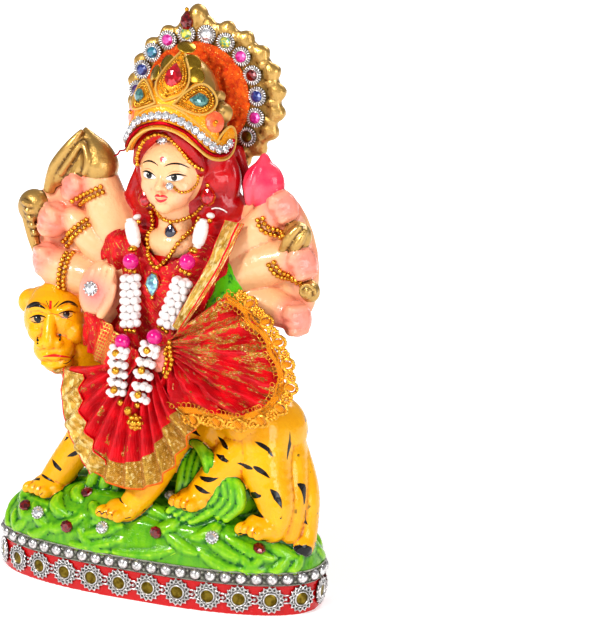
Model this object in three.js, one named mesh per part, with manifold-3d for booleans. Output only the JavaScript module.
// A painted plaster figure of a seated goddess with eight arms, riding a tiger on an oval grassy plinth,
// dressed in pleated cloth, beads, stones and stone-set trims.
// Millimetres, +Z up. The figure looks along -Y and the origin is the middle of the plinth's underside.

import * as THREE from "three";
import { mergeVertices } from "three/addons/utils/BufferGeometryUtils.js";
import Module from "manifold-3d";

const wasm = await Module();
wasm.setup();

// Driving sizes
const FIGURE_HEIGHT = 201; // the plinth's band to the tip of the halo
const PLINTH_WIDTH = 129;
const PLINTH_DEPTH = 49.6;
const BAND_HEIGHT = 16.5; // the upright band round the plinth
const PLINTH_SQUARENESS = 2.43; // exponent of the oval: 2 is an ellipse
const PLINTH_SIDES = 36;
const SEAT_GAP = 0.3; // between a fitted piece and what it rests on
const FACET_TOLERANCE = 0.15; // facets of the casting smaller than this are merged

const ROSETTE_RADIUS = 4.7;
const ROSETTE_PITCH = 11.6;
const ROSETTE_HEIGHT = 6.1; // of the rosettes' middles above the underside
const ROSETTE_THICKNESS = 1.5;
const PEARL_STRIP_HEIGHT = 3.2;
const PEARL_STRIP_THICKNESS = 1.4;
const PEARL_STRIP_DROP = 2.2; // of the strip's middle below the band's top
const PEARL_STRIP_STEP = 5.6; // between the strip's bends
const TRIM_STAND = 0.6; // between the band and the trims round it, for the glue and the bends

const HALO_WIDTH = 63.6; // over its lobes
const HALO_TALL = 59;
const HALO_LOBES = 22;
const HALO_LOBE = 2.3; // how far a lobe stands out
const HALO_THICKNESS = 5.2;
const HALO_RIM = 5.5; // the lobed rim round the flat field
const HALO_STONE_RADIUS = 3.35;
const HALO_STONE_PITCH = 7.4;
const HALO_STONE_THICKNESS = 1.6;
const VELVET_THICKNESS = 1.6;

const CLOTH_THICKNESS = 1.6; // stiffened dress cloth with its lining
const CROWN_THICKNESS = 2.2;
const LACE_THICKNESS = 1.4;
const LACE_INSIDE = 2; // how far the lace reaches in over the cloth
const LACE_OUTSIDE = 5.4;
const SASH_WIDTH = 9.5;
const LAP_CLOTH_WIDTH = 14;
const GRASS_STONE_RADIUS = 1.85;
const GRASS_STONE_THICKNESS = 1.1;
const BRACELET_WIDTH = 3.6;
const BRACELET_THICKNESS = 1.6;
const SEED_COLUMN_RADIUS = 2.6;
const PINK_BEAD_RADIUS = 3.2;
const LONG_BEAD_RADIUS = 2.4;
const THREAD_RADIUS = 0.9;
const NECKLACE_RADIUS = 0.85;
const FOREHEAD_BALL_RADIUS = 0.9;
const CROWN_STONE_RADIUS = 1.5;
const CROWN_STONE_THICKNESS = 1.2;

// The pose is drawn for a figure 201 mm tall over a band 16.5 mm high, and follows the real height.
const DRAWN = { height: 201, band: 16.5 };
const SCALE = FIGURE_HEIGHT / DRAWN.height;
const at = (x, y, z) => new THREE.Vector3(x * SCALE, y * SCALE, BAND_HEIGHT + (z - DRAWN.band) * SCALE);

// Solids

function body(geometry) {
  const loose = geometry.index ? geometry.toNonIndexed() : geometry;
  const bare = new THREE.BufferGeometry().setAttribute("position", loose.getAttribute("position"));
  const merged = mergeVertices(bare, 1e-4);
  const index = merged.index.array;
  const triangles = [];
  for (let i = 0; i < index.length; i += 3) {
    const [a, b, c] = [index[i], index[i + 1], index[i + 2]];
    if (a !== b && b !== c && c !== a) triangles.push(a, b, c);
  }
  const vertProperties = merged.attributes.position.array;
  const make = (list) => {
    const mesh = new wasm.Mesh({ numProp: 3, vertProperties, triVerts: new Uint32Array(list) });
    return new wasm.Manifold(mesh);
  };
  const made = make(triangles);
  if (made.volume() > 0) return made;
  for (let i = 0; i < triangles.length; i += 3) {
    [triangles[i + 1], triangles[i + 2]] = [triangles[i + 2], triangles[i + 1]];
  }
  return make(triangles);
}

function geometryOf(made) {
  const mesh = made.getMesh();
  const points = new Float32Array(mesh.numVert * 3);
  for (let i = 0; i < mesh.numVert; i++) {
    points.set(mesh.vertProperties.subarray(i * mesh.numProp, i * mesh.numProp + 3), i * 3);
  }
  const geometry = new THREE.BufferGeometry();
  geometry.setAttribute("position", new THREE.BufferAttribute(points, 3));
  geometry.setIndex(new THREE.BufferAttribute(mesh.triVerts, 1));
  geometry.computeVertexNormals();
  return geometry;
}

const join = (bodies) => bodies.reduce((a, b) => a.add(b));

// What is left of a piece once its neighbours are cut from it, without loose slivers.
function trimmed(piece, ...neighbours) {
  const left = neighbours.reduce((a, b) => a.subtract(b), piece);
  return left.decompose().sort((a, b) => b.volume() - a.volume())[0];
}

// A neighbour together with a copy of it a gap nearer to the viewer.
const withGap = (made) => made.add(made.translate([0, -SEAT_GAP, 0]));

// A closed skin over rings of points, with flat ends.
function loft(rings) {
  const positions = [];
  const face = (...corners) => corners.forEach((p) => positions.push(p.x, p.y, p.z));
  const middle = (ring) => ring.reduce((sum, p) => sum.add(p), new THREE.Vector3()).divideScalar(ring.length);
  const sides = rings[0].length;
  const first = middle(rings[0]);
  const last = middle(rings[rings.length - 1]);
  for (let i = 0; i < sides; i++) {
    const j = (i + 1) % sides;
    for (let k = 0; k + 1 < rings.length; k++) {
      face(rings[k][i], rings[k][j], rings[k + 1][j]);
      face(rings[k][i], rings[k + 1][j], rings[k + 1][i]);
    }
    face(first, rings[0][j], rings[0][i]);
    face(last, rings[rings.length - 1][i], rings[rings.length - 1][j]);
  }
  const geometry = new THREE.BufferGeometry();
  geometry.setAttribute("position", new THREE.Float32BufferAttribute(positions, 3));
  return geometry;
}

// A curved plate: its front is front(u, v) with u and v from 0 to 1, and its back lies behind by back(u, v).
function plate(across, along, front, back) {
  const faces = [];
  const backs = [];
  for (let k = 0; k <= along; k++) {
    for (let i = 0; i <= across; i++) {
      const place = front(i / across, k / along);
      faces.push(place);
      backs.push(place.clone().add(back(i / across, k / along)));
    }
  }
  const positions = [];
  const put = (...corners) => corners.forEach((p) => positions.push(p.x, p.y, p.z));
  const wall = (i, j) => {
    put(faces[i], backs[i], backs[j]);
    put(faces[i], backs[j], faces[j]);
  };
  const row = across + 1;
  for (let k = 0; k < along; k++) {
    for (let i = 0; i < across; i++) {
      const [p, q, r, t] = [k * row + i, k * row + i + 1, (k + 1) * row + i + 1, (k + 1) * row + i];
      put(faces[p], faces[q], faces[r]);
      put(faces[p], faces[r], faces[t]);
      put(backs[p], backs[r], backs[q]);
      put(backs[p], backs[t], backs[r]);
    }
    wall((k + 1) * row, k * row);
    wall(k * row + across, (k + 1) * row + across);
  }
  for (let i = 0; i < across; i++) {
    wall(i, i + 1);
    wall(along * row + i + 1, along * row + i);
  }
  const geometry = new THREE.BufferGeometry();
  geometry.setAttribute("position", new THREE.Float32BufferAttribute(positions, 3));
  return geometry;
}

function ellipsoid(x, y, z, rx, ry, rz, turn = [0, 0, 0], wide = 10, high = 7) {
  const degrees = turn.map(THREE.MathUtils.degToRad);
  const geometry = new THREE.SphereGeometry(1, wide, high);
  geometry.rotateX(Math.PI / 2);
  geometry.scale(rx * SCALE, ry * SCALE, rz * SCALE);
  geometry.applyMatrix4(new THREE.Matrix4().makeRotationFromEuler(new THREE.Euler(...degrees, "ZYX")));
  const place = at(x, y, z);
  return geometry.translate(place.x, place.y, place.z);
}

// A limb through stations [x, y, z, radius].
function limb(stations, sides = 7) {
  const curve = new THREE.CatmullRomCurve3(stations.map(([x, y, z]) => at(x, y, z)), false, "centripetal");
  const last = stations.length - 1;
  const frames = curve.computeFrenetFrames(last, false);
  const rings = stations.map(([, , , radius], k) =>
    Array.from({ length: sides }, (_, i) => {
      const turn = (2 * Math.PI * (i + 0.5)) / sides;
      return curve
        .getPoint(k / last)
        .addScaledVector(frames.normals[k], Math.cos(turn) * radius * SCALE)
        .addScaledVector(frames.binormals[k], Math.sin(turn) * radius * SCALE);
    }),
  );
  return loft(rings);
}

// A section swept along a route: each station [t, half width, half thickness] faces the viewer.
function swept(route, stations, sides = 4) {
  const toViewer = new THREE.Vector3(0, -1, 0);
  const rings = stations.map(([t, halfWidth, halfThickness]) => {
    const along = route.getTangentAt(t);
    const side = along.clone().cross(toViewer).normalize();
    const out = side.clone().cross(along).normalize();
    return Array.from({ length: sides }, (_, i) => {
      const turn = (2 * Math.PI * (i + 0.5)) / sides;
      return route
        .getPointAt(t)
        .addScaledVector(side, (halfWidth * Math.cos(turn)) / Math.cos(Math.PI / sides))
        .addScaledVector(out, (halfThickness * Math.sin(turn)) / Math.cos(Math.PI / sides));
    });
  });
  return loft(rings);
}

const even = (steps, ...sizes) => Array.from({ length: steps + 1 }, (_, i) => [i / steps, ...sizes]);

const curveThrough = (places) => new THREE.CatmullRomCurve3(places.map((p) => at(...p)), false, "centripetal");

// A level oval ring of the plinth's shape at a height.
function oval(halfWidth, halfDepth, z, count) {
  const power = 2 / PLINTH_SQUARENESS;
  return Array.from({ length: count }, (_, i) => {
    const turn = (2 * Math.PI * i) / count;
    const [c, s] = [Math.cos(turn), Math.sin(turn)];
    const x = halfWidth * Math.sign(c) * Math.abs(c) ** power;
    const y = halfDepth * Math.sign(s) * Math.abs(s) ** power;
    return new THREE.Vector3(x, y, z);
  });
}

// The plinth's outline as its own flats, for whatever runs round it.
function plinthOutline(out) {
  const corners = oval(PLINTH_WIDTH / 2 + out, PLINTH_DEPTH / 2 + out, 0, PLINTH_SIDES);
  const outline = new THREE.CatmullRomCurve3(corners, true, "catmullrom", 0);
  outline.arcLengthDivisions = PLINTH_SIDES * 40;
  return outline;
}

// The casting: plinth, tiger, goddess and halo in one piece of plaster. Grown makes it fatter all over.

function plinthForms(grown) {
  const [w, d] = [PLINTH_WIDTH / 2 + grown, PLINTH_DEPTH / 2 + grown];
  const level = (share, z) => oval(w * share, d * share, z, PLINTH_SIDES);
  const rise = (z) => at(0, 0, z).z + grown;
  const rings = [
    level(1, -grown),
    level(1, BAND_HEIGHT + grown),
    level(0.975, rise(22)),
    level(0.87, rise(29.5)),
    level(0.62, rise(35.5)),
    level(0.3, rise(39)),
  ];
  return [loft(rings), ellipsoid(-44, -1, 24, 16 + grown, 14 + grown, 10 + grown, [0, 0, 0], 8, 5)];
}

// Swept tufts of moulded grass down the front and the back of the mound, and a bank of it under the tiger.
function grassForms(grown) {
  const [halfWidth, halfDepth] = [PLINTH_WIDTH / 2 / SCALE, PLINTH_DEPTH / 2 / SCALE];
  const forms = [];
  for (const [side, tufts] of [[-1, 7], [1, 4]]) {
    for (let i = 0; i < tufts; i++) {
      const share = 0.7 * ((2 * i) / (tufts - 1) - 1);
      const x = halfWidth * share;
      const lean = i % 2 ? 8 : -6;
      const reach = halfDepth * (1 - Math.abs(share) ** PLINTH_SQUARENESS) ** (1 / PLINTH_SQUARENESS);
      forms.push(
        limb(
          [
            [x, side * (reach - 3), 20, 2 + grown],
            [x + lean * 0.5, side * (reach - 4.6), 26.5, 3.6 + grown],
            [x + lean, side * (reach - 10.5), 34.5 - 8 * share ** 2, 1.6 + grown],
          ],
          4,
        ),
      );
    }
  }
  return [
    ...forms,
    ellipsoid(6, 4, 42, 34 + grown, 10 + grown, 17 + grown, [0, 0, 0], 7, 5),
    ellipsoid(34, -6, 43, 10 + grown, 8 + grown, 13 + grown, [0, 0, 0], 6, 4),
    limb([[27, -13, 40, 3.6 + grown], [25, -14, 50, 4.8 + grown], [22.5, -12, 60, 3 + grown]], 5),
    limb([[37, -14, 36, 3 + grown], [39, -13, 50, 3.6 + grown], [34, -10, 58, 2 + grown]], 5),
  ];
}

function tigerForms(grown) {
  const g = grown;
  const trunk = [
    limb([[-38, 0, 60, 8 + g], [-29, 1, 64, 14 + g], [4, 3, 63, 14.5 + g], [44, 2, 66, 15 + g], [54, 1, 66, 8 + g]], 7),
    limb([[-29, 0, 66, 13 + g], [-37, -2, 84, 11 + g], [-41, -4, 98, 10.5 + g]], 6),
  ];
  const legs = [
    limb([[-28, -2, 66, 9.5 + g], [-33, -5, 54, 7.6 + g], [-39, -7, 42, 6.4 + g], [-43, -9, 34, 4.6 + g]], 6),
    limb([[8, -10, 60, 7.5 + g], [2.5, -16.5, 45, 6.4 + g], [-4, -20, 34, 4.6 + g]], 5),
    limb([[38, -4, 62, 10 + g], [30, -9, 52, 8 + g], [22, -13.5, 41, 5.6 + g]], 6),
    limb([[46, -3, 66, 13 + g], [47, -7, 54, 10.5 + g], [51, -11, 40, 6.8 + g], [50, -13, 32, 5.6 + g]], 6),
  ];
  const paws = [
    [-43, -10.5, 34.6, 7.6, 6, 4.6, -20],
    [-7, -21, 33.6, 8.2, 5.8, 4.4, -18],
    [19.5, -15, 39.8, 7.8, 5.6, 4.6, -18],
    [46.5, -15, 33.2, 8.4, 6.4, 5, -20],
  ].map(([x, y, z, rx, ry, rz, turn]) => ellipsoid(x, y, z, rx + g, ry + g, rz + g, [0, 0, turn], 6, 4));
  const head = [
    ellipsoid(-41.5, -8, 99.5, 12.2 + g, 10.5 + g, 11.8 + g, [0, 0, 25], 9, 6),
    ellipsoid(-37, -13.5, 90, 8.6 + g, 8.5 + g, 7.6 + g, [0, 0, 25], 7, 5),
    ellipsoid(-36, -14, 84.4, 6.6 + g, 6.6 + g, 4 + g, [0, 0, 25], 6, 4),
    limb([[-39.4, -15, 105, 2.3 + g], [-37.4, -19.4, 98, 2.8 + g], [-36, -21.4, 92, 3.2 + g]], 5),
    ellipsoid(-53.2, -3.5, 106.6, 4.4 + g, 3 + g, 4.6 + g, [0, -35, 10], 6, 4),
    ellipsoid(-30.5, -4, 109, 4 + g, 3 + g, 4.6 + g, [0, 25, 10], 6, 4),
  ];
  const tail = [[46, 7, 80, 5 + g], [51.5, 4, 62, 4.8 + g], [57.6, 1, 44, 4.4 + g], [59.4, -3, 25.4, 4.2 + g]];
  return [...trunk, ...legs, ...paws, ...head, limb(tail, 5)];
}

// A level ring of a body's own section: [height, middle x, middle y, half width, half depth].
function section([z, x, y, halfWidth, halfDepth], grown, sides) {
  const middle = at(x, y, z);
  const [w, d] = [halfWidth * SCALE + grown, halfDepth * SCALE + grown];
  return Array.from({ length: sides }, (_, i) => {
    const turn = (2 * Math.PI * i) / sides;
    return new THREE.Vector3(middle.x + w * Math.cos(turn), middle.y + d * Math.sin(turn), middle.z);
  });
}

function goddessForms(grown) {
  const g = grown;
  const torso = [
    [82, 6, 2, 26, 12],
    [96, 4.5, -1, 22, 12.5],
    [108, 4, -2, 19, 11],
    [121, 4.5, -2.5, 20, 12],
    [130, 5, -1, 22.5, 10],
    [136, 5.5, -1, 13, 7.5],
  ].map((s) => section(s, g, 9));
  const lap = [
    limb([[8, -1, 90, 12 + g], [30, -3, 91, 12 + g], [44, -4, 91, 10 + g], [51, -3, 90, 4 + g]], 7),
    limb([[4, -1, 90, 12 + g], [-8, -4, 90, 10.5 + g], [-17, -7, 89, 7 + g]], 7),
    limb([[-12, -6, 92, 7 + g], [-6, -12, 70, 6 + g], [-3, -15, 54, 3.6 + g]], 5),
  ];
  const veil = [
    [178, 5.8, 4, 13.5, 11],
    [164, 6.6, 3.5, 18, 12],
    [156, 6.4, 3.5, 20.4, 11.5],
    [147, 5.9, 4, 23.4, 10.5],
    [137, 5.8, 4.5, 25.5, 9.5],
    [110, 6.5, 5, 24, 7],
  ].map((s) => section(s, g, 10));
  const head = [
    limb([[5.5, -3, 130, 6.6 + g], [5.4, -4, 150, 5.8 + g]], 6),
    ellipsoid(5.3, -4.5, 158.5, 11.4 + g, 11.6 + g, 13.5 + g, [0, 0, 0], 11, 8),
    ellipsoid(5.3, -8.6, 150.6, 7.4 + g, 6.6 + g, 5.6 + g, [0, 0, 0], 7, 5),
    limb([[5.3, -14.2, 164, 1 + g], [5.3, -16.2, 157, 1.8 + g]], 4),
    ellipsoid(5.3, -14.9, 152.2, 2.9 + g, 1.3 + g, 1.2 + g, [0, 0, 0], 6, 4),
  ];
  const castCrown = [
    ellipsoid(5.3, 2, 183, 14 + g, 11 + g, 18.5 + g, [0, 0, 0], 9, 6),
    ...[[20, -1, 181.5, 4.2], [17, 1, 190, 4.2]].flatMap(([x, y, z, r]) => [
      ellipsoid(x, y, z, r + g, r + g, r + g, [0, 0, 0], 6, 4),
      ellipsoid(10.6 - x, y, z, r + g, r + g, r + g, [0, 0, 0], 6, 4),
    ]),
  ];
  return [loft(torso), ...lap, loft(veil), ...head, ...castCrown];
}

// A half-closed hand: a palm with its fingers folded over it.
function hand(x, y, z, size, turn, grown) {
  const across = [Math.cos(THREE.MathUtils.degToRad(turn)), Math.sin(THREE.MathUtils.degToRad(turn))];
  const [fx, fz] = [x - across[0] * size * 0.24, z + across[1] * size * 0.24];
  return [
    ellipsoid(x, y, z, size * 0.62 + grown, size * 0.5 + grown, size * 0.72 + grown, [0, turn, 0], 6, 4),
    ellipsoid(fx, y - size * 0.32, fz, size * 0.34 + grown, size * 0.26 + grown, size * 0.62 + grown, [0, turn, 0], 5, 4),
  ];
}

function armForms(grown) {
  const g = grown;
  const left = [
    limb([[-10, 1, 124, 8.5 + g], [-22, 1, 136, 8.8 + g], [-30.5, 3, 160, 7.6 + g]], 6),
    limb([[-16, 0, 122, 7.5 + g], [-27, -2, 128, 6.5 + g], [-37, -2, 137, 5 + g]], 5),
    limb([[-16, -1, 113, 8 + g], [-30, -3, 116, 8 + g], [-43, -3, 118, 7.4 + g]], 5),
    ...hand(-36.5, -1.5, 149, 8, 30, g),
    ...hand(-45, -3, 136, 8.6, 20, g),
    ...hand(-47.5, -3, 120.5, 8.6, -5, g),
  ];
  const right = [
    limb([[25, 1, 128, 8 + g], [34, 2, 137, 7.6 + g], [41, 2, 147, 6 + g]], 5),
    limb([[25, 0, 120, 9 + g], [38, 0, 127, 8.6 + g], [48, -1, 131, 6 + g]], 5),
    limb([[26, 0, 110, 9 + g], [38, -1, 113, 7.6 + g], [49, -2, 111, 6 + g]], 5),
    ...hand(45.5, -0.5, 149, 8.6, -30, g),
    ...hand(54, -2, 129.5, 8.6, -20, g),
    ...hand(54, -3.5, 109.5, 9, -5, g),
  ];
  const backing = [
    ellipsoid(-40, 4, 134, 17 + g, 5 + g, 24 + g, [0, 20, 0], 6, 4),
    ellipsoid(43, 4, 130, 15 + g, 5 + g, 27 + g, [0, -12, 0], 6, 4),
  ];
  const blessing = [
    limb([[-14, -4, 122, 6.5 + g], [-18, -9, 108, 6 + g], [-21.5, -13, 104, 5 + g]], 5),
    ellipsoid(-20, -15.8, 113.5, 5.6 + g, 2.7 + g, 8 + g, [0, 12, 0], 7, 5),
    ellipsoid(-18.4, -15.4, 121.4, 4.6 + g, 2.1 + g, 6 + g, [0, 12, 0], 6, 4),
  ];
  const lapArm = [
    limb([[26, -4, 122, 6.5 + g], [27, -11, 109, 6 + g], [18, -19, 98, 4.4 + g]], 5),
    ellipsoid(11.5, -22.6, 94.5, 5.4 + g, 3.4 + g, 4.6 + g, [0, 20, 0], 6, 4),
  ];
  return [...left, ...right, ...backing, ...blessing, ...lapArm];
}

// What the hands hold: a blade and a mace at one side, a lotus, a shell and a conch at the other.
function emblemForms(grown) {
  const g = grown;
  const bladeTip = [
    [157, -30.4, 2.5, 11, 5],
    [161, -31.8, 2.5, 9.6, 5],
    [166, -33.2, 2.5, 6, 4],
    [170.5, -34.4, 2.5, 1.4, 1.6],
  ].map((s) => section(s, g, 8));
  return [
    loft(bladeTip),
    limb([[-46.5, -0.5, 149, 2.6 + g], [-42.5, -1.5, 158, 2.6 + g], [-35.4, -1, 169.4, 1.2 + g]], 5),
    ellipsoid(-55.8, 1, 139.8, 5.8 + g, 5.2 + g, 6.8 + g, [0, 20, 0], 7, 5),
    limb([[-56, 0, 135, 3.6 + g], [-53, 0, 123, 2.2 + g]], 5),
    ellipsoid(36.2, 1, 156.5, 6.4 + g, 5.2 + g, 9 + g, [0, 8, 0], 7, 6),
    limb([[36.2, 1, 160, 4.6 + g], [36.4, 2, 167.4, 0.8 + g]], 5),
    ellipsoid(52, -2.4, 139.8, 6 + g, 4.2 + g, 5.6 + g, [0, 35, 0], 7, 5),
    limb([[45.5, -4, 136.5, 2.2 + g], [50, -5.4, 137, 2.6 + g]], 5),
    ellipsoid(58, -3.6, 120.2, 4 + g, 3 + g, 4.4 + g, [0, 0, 0], 7, 5),
  ];
}

const HALO = { x: 7.4, y: 16.5, z: 184 };
const HALO_MIDDLE = at(HALO.x, HALO.y, HALO.z);

// A place over the top of the halo's lobes.
const overHalo = (aside, up) => [HALO.x + aside, HALO.y, HALO.z + HALO_TALL / 2 + up];

// A place in the halo's plane: turned clockwise from the top, so far in from the lobes' tips.
function onHalo(turn, inward, y = 0) {
  const x = (HALO_WIDTH / 2 - inward) * SCALE * Math.sin(turn);
  const z = (HALO_TALL / 2 - inward) * SCALE * Math.cos(turn);
  return HALO_MIDDLE.clone().add(new THREE.Vector3(x, y, z));
}

function haloForms(grown) {
  const count = HALO_LOBES * 2;
  const ring = (inward, lobe, y) =>
    Array.from({ length: count }, (_, i) => {
      const turn = (2 * Math.PI * i) / count;
      const hollow = i % 2 ? lobe : 0;
      return onHalo(turn, inward + hollow - grown / SCALE, y);
    });
  const half = HALO_THICKNESS / 2;
  const face = loft([
    ring(1, HALO_LOBE * 0.8, half + grown),
    ring(0, HALO_LOBE, -half - grown),
    ring(HALO_RIM, 0, 1 - half - grown),
  ]);
  const finial = limb(
    [[...overHalo(-3.4, -4.5), 3 + grown], [...overHalo(-3.6, -0.1), 4.2 + grown], [...overHalo(-3.8, 3.9), 1.4 + grown]],
    6,
  );
  const neck = ellipsoid(7, 9, 160, 15 + grown, 8 + grown, 18 + grown, [0, 0, 0], 7, 5);
  return [face, finial, neck];
}

function casting(grown) {
  const forms = [
    ...plinthForms(grown),
    ...grassForms(grown),
    ...tigerForms(grown),
    ...goddessForms(grown),
    ...armForms(grown),
    ...emblemForms(grown),
    ...haloForms(grown),
  ];
  return trimmed(join(forms.map(body))).simplify(FACET_TOLERANCE);
}

const cast = casting(0);
const castWithGap = casting(SEAT_GAP);

// The dress

const LACE_EDGE = curveThrough([
  [30.5, -15, 118.5],
  [43.9, -15, 109.5],
  [52.7, -15, 97],
  [54.2, -16, 86],
  [46, -18, 77.5],
  [36.5, -20, 74],
  [21, -23.5, 77.5],
]);
const FAN_EDGE = curveThrough([
  [30.5, -15, 118.5],
  [43.9, -15, 109.5],
  [52.7, -15, 97],
  [54.2, -16, 86],
  [46, -18, 77.5],
  [36.5, -20, 74],
  [21, -23.5, 76.5],
  [10, -25.5, 76],
]);
const FAN_KNOT = at(12.5, -25, 98);
const SKIRT_EDGE = curveThrough([
  [-34.5, -16, 80.5],
  [-28, -18.5, 63],
  [-16, -23, 49],
  [0, -27, 44],
  [12.5, -26.5, 51],
  [21, -24, 68],
]);

// Cloth gathered at a knot and spread in pleats to a curved edge.
function pleated(knot, edge, pleats, depth, bulge, inner = 0.1) {
  const front = (u, v) => {
    const reach = inner + (1 - inner) * v;
    const place = knot.clone().lerp(edge.getPoint(u), reach);
    place.y -= Math.sin(Math.PI * v) * bulge * SCALE + depth * v * Math.cos(2 * Math.PI * pleats * u);
    return place;
  };
  return body(plate(pleats * 2, 3, front, () => new THREE.Vector3(0, CLOTH_THICKNESS, 0)));
}

const PLEAT_DEPTH = 0.9;
const sideFan = trimmed(pleated(FAN_KNOT, FAN_EDGE, 9, PLEAT_DEPTH, 2.5), castWithGap);
const frontSkirt = trimmed(
  pleated(at(2.5, -24, 90), SKIRT_EDGE, 9, PLEAT_DEPTH, 1.5),
  castWithGap,
  withGap(sideFan),
);

function laceBand() {
  const knot = FAN_KNOT;
  const scallops = 9;
  const front = (u, v) => {
    const edge = LACE_EDGE.getPoint(u);
    const out = edge.clone().sub(knot).setY(0).normalize();
    const wave = 0.8 + 0.2 * Math.cos(2 * Math.PI * scallops * u);
    const place = edge.addScaledVector(out, -LACE_INSIDE + (LACE_INSIDE + LACE_OUTSIDE * wave) * v);
    place.y -= LACE_THICKNESS + PLEAT_DEPTH + SEAT_GAP;
    return place;
  };
  const made = body(plate(scallops * 2, 1, front, () => new THREE.Vector3(0, LACE_THICKNESS, 0)));
  return trimmed(made, castWithGap, withGap(sideFan), withGap(frontSkirt));
}

const lace = laceBand();

// The wrap over the chest: the torso's own sections, fatter, open at the neck.
function chestWrap() {
  const rings = [
    [94, 4.6, -0.8, 22.4, 12.6],
    [108, 4, -2, 19.4, 11.6],
    [121, 4.5, -2.5, 20.6, 12.6],
    [130, 5, -1.5, 22.6, 10.6],
    [134.5, 5.4, -1, 19, 9],
  ].map((s) => section(s, CLOTH_THICKNESS, 9));
  const neckline = body(limb([[6.5, -12, 143, 16], [5, -14, 120, 1.5]], 8));
  const behind = body(loft([oval(60, 40, at(0, 0, 90).z, 8), oval(60, 40, at(0, 0, 140).z, 8)]));
  return trimmed(body(loft(rings)), neckline, behind.translate([0, at(0, 36, 0).y, 0]), castWithGap);
}

const chest = chestWrap();

const SASH_LINE = curveThrough([[29, -8, 143], [27.6, -12, 137], [25, -16, 129], [21.5, -19.5, 121], [17, -23, 110], [14, -25.5, 102]]);
const sash = trimmed(
  body(swept(SASH_LINE, even(5, SASH_WIDTH / 2, CLOTH_THICKNESS / 2))),
  castWithGap,
  withGap(chest),
  withGap(sideFan),
);
const LAP_LINE = curveThrough([[-23, -16, 111], [-18, -20, 101], [-11, -23.5, 92.5], [-3, -26, 87]]);
const lapCloth = trimmed(
  body(swept(LAP_LINE, even(4, LAP_CLOTH_WIDTH / 2, CLOTH_THICKNESS * 0.8))),
  castWithGap,
  withGap(chest),
  withGap(frontSkirt),
  withGap(sideFan),
);
const sleeve = trimmed(
  body(ellipsoid(-15, -2, 127.5, 8.5, 9, 8.5, [0, 30, 0], 8, 6)),
  castWithGap,
  withGap(chest),
);

// The crown: a padded panel bent round the front of the head, peaked in the middle.
function crownPanel() {
  const middle = at(5.3, 1.5, 0);
  const spread = THREE.MathUtils.degToRad(82);
  const low = (s) => 176.5 - 12.5 * Math.sin(Math.min(Math.abs(s) / 0.8, 1) * (Math.PI / 2)) ** 2;
  const leaf = (s, middle, half) => Math.max(0, 1 - (Math.abs(s - middle) / half) ** 2);
  const high = (s) => 181 + Math.max(21.5 * leaf(s, 0, 0.33), 10.5 * leaf(Math.abs(s), 0.4, 0.32)) - 4 * Math.abs(s) ** 3;
  const front = (u, v) => {
    const s = 2 * u - 1;
    const z = THREE.MathUtils.lerp(low(s), high(s), v);
    const rise = Math.max(0, z - 172);
    const reach = 19.6 * Math.sqrt(Math.max(0.03, 1 - (rise / 32) ** 2)) * SCALE;
    const turn = s * spread;
    const y = middle.y + rise * 0.16 - Math.cos(turn) * reach;
    return new THREE.Vector3(middle.x + Math.sin(turn) * reach, y, at(0, 0, z).z);
  };
  const back = (u) => {
    const turn = (2 * u - 1) * spread;
    return new THREE.Vector3(-Math.sin(turn), Math.cos(turn), 0).multiplyScalar(CROWN_THICKNESS);
  };
  return trimmed(body(plate(16, 3, front, back)), castWithGap);
}

const crown = crownPanel();

// Where a level ray from the viewer first meets what is already there.
const dress = [sideFan, frontSkirt, lace, chest, sash, lapCloth, sleeve, crown];
const underneath = [cast, ...dress].map(
  (made) => new THREE.Mesh(geometryOf(made), new THREE.MeshStandardMaterial({ side: THREE.DoubleSide })),
);
const dressWithGap = [castWithGap, ...dress.map(withGap)];

function surfaceAt(x, z, among = underneath) {
  const start = new THREE.Vector3(x, -200, z);
  const hits = new THREE.Raycaster(start, new THREE.Vector3(0, 1, 0)).intersectObjects(among);
  if (!hits.length) throw new Error(`nothing lies behind ${x.toFixed(1)}, ${z.toFixed(1)}`);
  return { place: hits[0].point, normal: hits[0].face.normal };
}

// The seat of a small round piece: its middle and the way it faces, clear of the ground beneath all of it.
function seat(x, z, radius) {
  const flat = at(x, 0, z);
  const spots = [surfaceAt(flat.x, flat.z)];
  for (let i = 0; i < 6; i++) {
    const turn = (Math.PI * i) / 3;
    spots.push(surfaceAt(flat.x + Math.cos(turn) * radius * 0.8, flat.z + Math.sin(turn) * radius * 0.8));
  }
  const out = spots.reduce((sum, spot) => sum.add(spot.normal), new THREE.Vector3()).normalize();
  const stand = Math.max(...spots.map((spot) => spot.place.clone().sub(spots[0].place).dot(out)));
  return { place: spots[0].place.clone().addScaledVector(out, Math.min(stand, radius) + SEAT_GAP), out };
}

// A line through places on the figure, hanging clear of whatever it passes.
function hungLine(line, radius, steps = 12) {
  const route = new THREE.CatmullRomCurve3(line.map(([x, z]) => new THREE.Vector3(x, 0, z)), false, "centripetal");
  const places = Array.from({ length: steps + 1 }, (_, i) => {
    const { x, z } = route.getPointAt(i / steps);
    const flat = at(x, 0, z);
    const fronts = [-radius, 0, radius].map((aside) => surfaceAt(flat.x + aside, flat.z).place.y);
    return flat.setY(Math.min(...fronts) - SEAT_GAP - radius);
  });
  const eased = places.map((p, i) => {
    const near = places.slice(Math.max(0, i - 1), i + 2).map((q) => q.y);
    return p.clone().setY((Math.min(...near) + p.y) / 2);
  });
  return new THREE.CatmullRomCurve3(eased, false, "centripetal");
}

// A bead or stone turned on its own axis, which runs along a direction.
function turned(place, along, profile, sides = 5) {
  const points = profile.map(([radius, height]) => new THREE.Vector2(radius, height));
  const geometry = new THREE.LatheGeometry(points, sides);
  geometry.applyQuaternion(new THREE.Quaternion().setFromUnitVectors(new THREE.Vector3(0, 1, 0), along));
  return geometry.translate(place.x, place.y, place.z);
}

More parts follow.
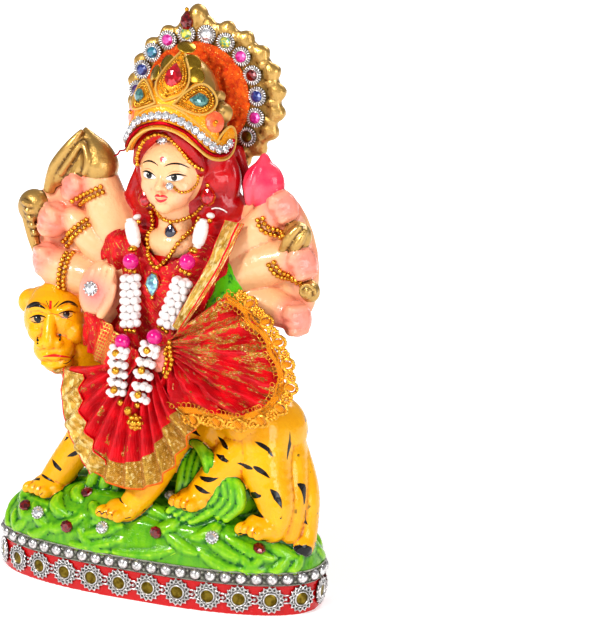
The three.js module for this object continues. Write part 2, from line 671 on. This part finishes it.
const stud = (radius, thickness) => [[0, 0], [radius, 0], [radius * 0.8, thickness * 0.75], [0, thickness]];

// The garland: two strings of long, round and clustered beads that meet over a small bell.
const GARLAND_LEFT = [[-7.5, 142], [-6.6, 137], [-7, 126.6], [-6.6, 119], [-4.6, 105.7], [-5.6, 99.5], [-6, 93], [-5.4, 82], [-0.6, 75]];
const GARLAND_RIGHT = [[22.5, 146], [19.6, 140], [15.6, 129], [13.6, 122], [9.6, 107.5], [7, 102], [5.4, 96], [4.8, 82], [2, 75]];

// Bead stations along a strand: [middle t, radius, half length].
const GARLAND_BEADS = [
  [0.11, LONG_BEAD_RADIUS, 4.8],
  [0.26, PINK_BEAD_RADIUS, PINK_BEAD_RADIUS],
  [0.46, SEED_COLUMN_RADIUS, 9.6],
  [0.635, PINK_BEAD_RADIUS, PINK_BEAD_RADIUS],
  [0.82, SEED_COLUMN_RADIUS, 9],
];

function garland() {
  const strands = [GARLAND_LEFT, GARLAND_RIGHT].map((line) => {
    const route = hungLine(line, SEED_COLUMN_RADIUS);
    const length = route.getLength();
    const beads = GARLAND_BEADS.flatMap(([t, radius, half]) => [
      [t - half / length, THREAD_RADIUS, THREAD_RADIUS],
      [t - (half - radius * 0.45) / length, radius, radius],
      [t + (half - radius * 0.45) / length, radius, radius],
      [t + half / length, THREAD_RADIUS, THREAD_RADIUS],
    ]);
    const ends = [[0, THREAD_RADIUS, THREAD_RADIUS], [1, THREAD_RADIUS, THREAD_RADIUS]];
    return swept(route, [ends[0], ...beads, ends[1]], 4);
  });
  const tie = hungLine([[0.4, 78], [0.8, 74.5], [1.6, 67.4]], SEED_COLUMN_RADIUS, 3);
  const bell = swept(tie, [[0, 1, 1], [0.15, 2.6, 2.6], [0.5, 2.6, 2.6], [0.6, 2, 2], [0.75, 3.2, 3.2], [1, 1.8, 1.8]], 6);
  return trimmed(join([...strands, bell].map(body)), ...dressWithGap);
}

function strung(line, radius, steps) {
  const route = hungLine(line, radius);
  return trimmed(body(swept(route, even(steps, radius, radius))), ...dressWithGap);
}

function stone(x, z, radius, thickness, sides = 6) {
  const { place, out } = seat(x, z, radius);
  return trimmed(body(turned(place, out, stud(radius, thickness), sides)), ...dressWithGap);
}

// A pear-shaped stone, its point up by the given turn.
function pearStone(x, z, radius, long, thickness, turn = 0, inFrontOf = []) {
  const { place, out } = seat(x, z, radius);
  const outline = new THREE.Shape();
  outline.moveTo(0, long - radius);
  outline.lineTo(radius * 0.75, radius * 0.5);
  outline.absarc(0, 0, radius, 0.2, Math.PI - 0.2, true);
  outline.lineTo(-radius * 0.75, radius * 0.5);
  const geometry = new THREE.ExtrudeGeometry(outline, { depth: thickness, bevelEnabled: false, curveSegments: 5 });
  geometry.rotateZ(THREE.MathUtils.degToRad(turn));
  const facing = new THREE.Matrix4().lookAt(out, new THREE.Vector3(), new THREE.Vector3(0, 0, 1));
  geometry.applyMatrix4(facing).translate(place.x, place.y, place.z);
  return trimmed(body(geometry), ...dressWithGap, ...inFrontOf.map(withGap));
}

// A bracelet's front half, bent over the arm it is on.
function bracelet(line) {
  const route = hungLine(line, BRACELET_THICKNESS / 2, 4);
  const sections = even(4, BRACELET_WIDTH / 2, BRACELET_THICKNESS / 2);
  return trimmed(body(swept(route, sections)), ...dressWithGap);
}

// A trim right round the plinth's band, its height and thickness given station by station.
function plinthTrim(count, middle, stations) {
  const outline = plinthOutline(TRIM_STAND);
  const total = count * stations.length;
  const rings = Array.from({ length: total }, (_, k) => {
    const [half, thick] = stations[k % stations.length];
    const t = (k + 0.5) / total;
    const along = outline.getTangentAt(t);
    const out = new THREE.Vector3(along.y, -along.x, 0);
    const corner = (stand, up) => outline.getPointAt(t).addScaledVector(out, stand).setZ(middle + up);
    return [corner(0, -half), corner(0, half), corner(thick, half * 0.8), corner(thick, -half * 0.8)];
  });
  const positions = [];
  const put = (...corners) => corners.forEach((p) => positions.push(p.x, p.y, p.z));
  rings.forEach((ring, k) => {
    const next = rings[(k + 1) % rings.length];
    for (let i = 0; i < 4; i++) {
      const j = (i + 1) % 4;
      put(ring[i], ring[j], next[j]);
      put(ring[i], next[j], next[i]);
    }
  });
  const geometry = new THREE.BufferGeometry();
  geometry.setAttribute("position", new THREE.Float32BufferAttribute(positions, 3));
  return body(geometry);
}

const plinthRound = plinthOutline(0).getLength();
const rosetteTrim = plinthTrim(Math.round(plinthRound / ROSETTE_PITCH), ROSETTE_HEIGHT, [
  [ROSETTE_RADIUS * 0.42, ROSETTE_THICKNESS],
  [ROSETTE_RADIUS, ROSETTE_THICKNESS],
  [ROSETTE_RADIUS, ROSETTE_THICKNESS],
]);
const pearlTrim = plinthTrim(Math.round(plinthRound / PEARL_STRIP_STEP), BAND_HEIGHT - PEARL_STRIP_DROP, [
  [PEARL_STRIP_HEIGHT / 2, PEARL_STRIP_THICKNESS],
]);

// The chain of stones round the halo, from low on one side to low on the other.
function haloChain() {
  const inward = HALO_RIM + HALO_STONE_RADIUS * 0.35;
  const face = 1 - HALO_THICKNESS / 2 - SEAT_GAP - HALO_STONE_THICKNESS / 2;
  const [first, last] = [-99, 142].map(THREE.MathUtils.degToRad);
  const places = Array.from({ length: 25 }, (_, i) => onHalo(first + ((last - first) * i) / 24, inward, face));
  const route = new THREE.CatmullRomCurve3(places, false, "centripetal");
  const length = route.getLength();
  const count = Math.floor(length / HALO_STONE_PITCH);
  const sections = [];
  for (let i = 0; i < count; i++) {
    for (const [reach, share] of [[-1, 0.42], [-0.42, 1], [0.42, 1]]) {
      const t = (i + 0.5) / count + (reach * HALO_STONE_RADIUS) / length;
      sections.push([t, HALO_STONE_RADIUS * share, HALO_STONE_THICKNESS / 2]);
    }
  }
  return trimmed(body(swept(route, sections)), castWithGap, withGap(crown));
}

const haloStones = haloChain();

function haloVelvet() {
  const count = 20;
  const ring = (y) => Array.from({ length: count }, (_, i) => onHalo((2 * Math.PI * i) / count, HALO_RIM + 4.4, y));
  const face = 1 - HALO_THICKNESS / 2 - SEAT_GAP;
  const pad = body(loft([ring(face), ring(face - VELVET_THICKNESS)]));
  return trimmed(pad, castWithGap, withGap(crown), withGap(haloStones));
}

// The row of clear stones along the crown's lower edge.
function crownStones() {
  const line = [[-9, 172], [-6, 175.6], [-2, 178.6], [4.6, 180.4], [10, 179], [15, 174.8], [20, 170.2], [23, 168.8]];
  const route = hungLine(line, CROWN_STONE_RADIUS * 0.5);
  return trimmed(body(swept(route, even(12, CROWN_STONE_RADIUS, CROWN_STONE_THICKNESS / 2))), ...dressWithGap);
}

// The gold balls along the hairline, in two swags that meet behind the forehead stone.
function foreheadChain() {
  const line = [[-8.4, 162.6], [-5.4, 167], [-2.6, 171.6], [1.4, 174.8], [5.4, 173.6], [9, 169.4], [14.8, 163.6], [19, 161.8]];
  return strung(line, FOREHEAD_BALL_RADIUS, 12);
}

// The nodes

const group = new THREE.Group();
const colours = {
  plaster: [0x4fae2a, 0.25, 0],
  red: [0xc1121f, 0.45, 0.1],
  gold: [0xd9a429, 0.3, 0.7],
  silver: [0xcfcfd4, 0.2, 0.9],
  white: [0xf4efe6, 0.25, 0],
  velvet: [0xf25a05, 0.9, 0],
  clear: [0xe8edf2, 0.05, 0],
  garnet: [0x7d0a1c, 0.08, 0],
  teal: [0x4f8a78, 0.08, 0],
  black: [0x15151f, 0.08, 0],
};

function add(name, colour, made) {
  const [color, roughness, metalness] = colours[colour];
  const mesh = new THREE.Mesh(geometryOf(made), new THREE.MeshStandardMaterial({ color, roughness, metalness }));
  mesh.name = name;
  group.add(mesh);
}

add("durga_tiger_casting", "plaster", cast);
add("side_skirt_fan", "red", sideFan);
add("front_skirt", "red", frontSkirt);
add("lace_trim", "gold", lace);
add("chest_wrap", "red", chest);
add("diagonal_sash", "gold", sash);
add("lap_cloth", "red", lapCloth);
add("shoulder_cloth", "red", sleeve);
add("crown_panel", "gold", crown);
add("halo_velvet", "velvet", haloVelvet());
add("halo_stone_chain", "silver", haloStones);
add("rosette_trim", "silver", rosetteTrim);
add("pearl_trim", "silver", pearlTrim);
add("bead_garland", "white", garland());
add("short_necklace", "gold", strung([[-4.2, 145.6], [2.7, 142.2], [6.1, 141.6], [9.4, 142.2], [16, 147]], NECKLACE_RADIUS, 8));
add("long_necklace", "gold", strung([[-4, 141.5], [-3, 136], [-1.4, 129], [2.2, 125], [6, 128.6], [12.4, 138.4]], NECKLACE_RADIUS, 10));
add("black_pendant", "black", pearStone(6, 137.4, 2, 5.4, 2.2));
add("drop_pendant", "teal", pearStone(2.4, 120.6, 2.6, 8, 2.4, 180));
add("crown_centre_stone", "garnet", pearStone(5, 189.6, 2.9, 9, 1.6, -12));
add("crown_right_stone", "teal", pearStone(14.6, 184.6, 2.2, 6.6, 1.6, 95));
add("crown_left_stone", "teal", pearStone(-5.4, 185.4, 2, 5.4, 1.6, -80));
add("crown_rhinestones", "clear", crownStones());
const [finialX, , finialZ] = overHalo(-6.2, -2.1);
add("finial_stone", "garnet", pearStone(finialX, finialZ, 2, 5.6, 1.6, 0, [haloStones]));
add("tikka_stone", "clear", stone(2.3, 170.6, 2, 1.2));
add("forehead_chain", "gold", foreheadChain());
add("nose_stone", "clear", stone(7.6, 155.8, 1.3, 1));
add("nose_chain", "gold", strung([[9.7, 154.4], [12, 153.8], [14, 153.8], [15.4, 155]], 0.7, 4));
add("left_earring", "garnet", pearStone(-6, 147.6, 1.9, 5.6, 1.8));
add("right_earring", "garnet", pearStone(18, 150.6, 2, 6.2, 1.8));
add("palm_stone", "clear", stone(-20.2, 116.2, 2, 1.3));
[
  ["upper_left_bangle", [[-34.6, 144], [-29.4, 147], [-25.4, 149]]],
  ["middle_left_bangle", [[-40, 128], [-35.3, 132.1], [-31, 136]]],
  ["lower_left_bangle", [[-37, 124.6], [-37.2, 118.2], [-38.2, 112]]],
  ["upper_right_bangle", [[38.6, 144.6], [39.9, 141.7], [43.4, 140], [47, 138.8]]],
  ["middle_right_bangle", [[44.8, 129.4], [48.7, 124.8], [53.6, 122.4]]],
  ["lap_bangle", [[12.4, 100.6], [13.4, 95.9], [12.8, 90.6]]],
].forEach(([name, line]) => add(name, "gold", bracelet(line)));
const GRASS_STONES = {
  clear: [[-42.5, 25.8], [-13.4, 25.8], [9, 37], [29.2, 28]],
  garnet: [[-50.4, 28.2], [-25.3, 35.2], [-28.8, 24], [7.8, 27.4], [24.4, 36], [46.4, 25.4]],
};
for (const [colour, places] of Object.entries(GRASS_STONES)) {
  places.forEach(([x, z], i) => {
    add(`${colour}_grass_stone_${i + 1}`, colour, stone(x, z, GRASS_STONE_RADIUS, GRASS_STONE_THICKNESS));
  });
}

export default group;
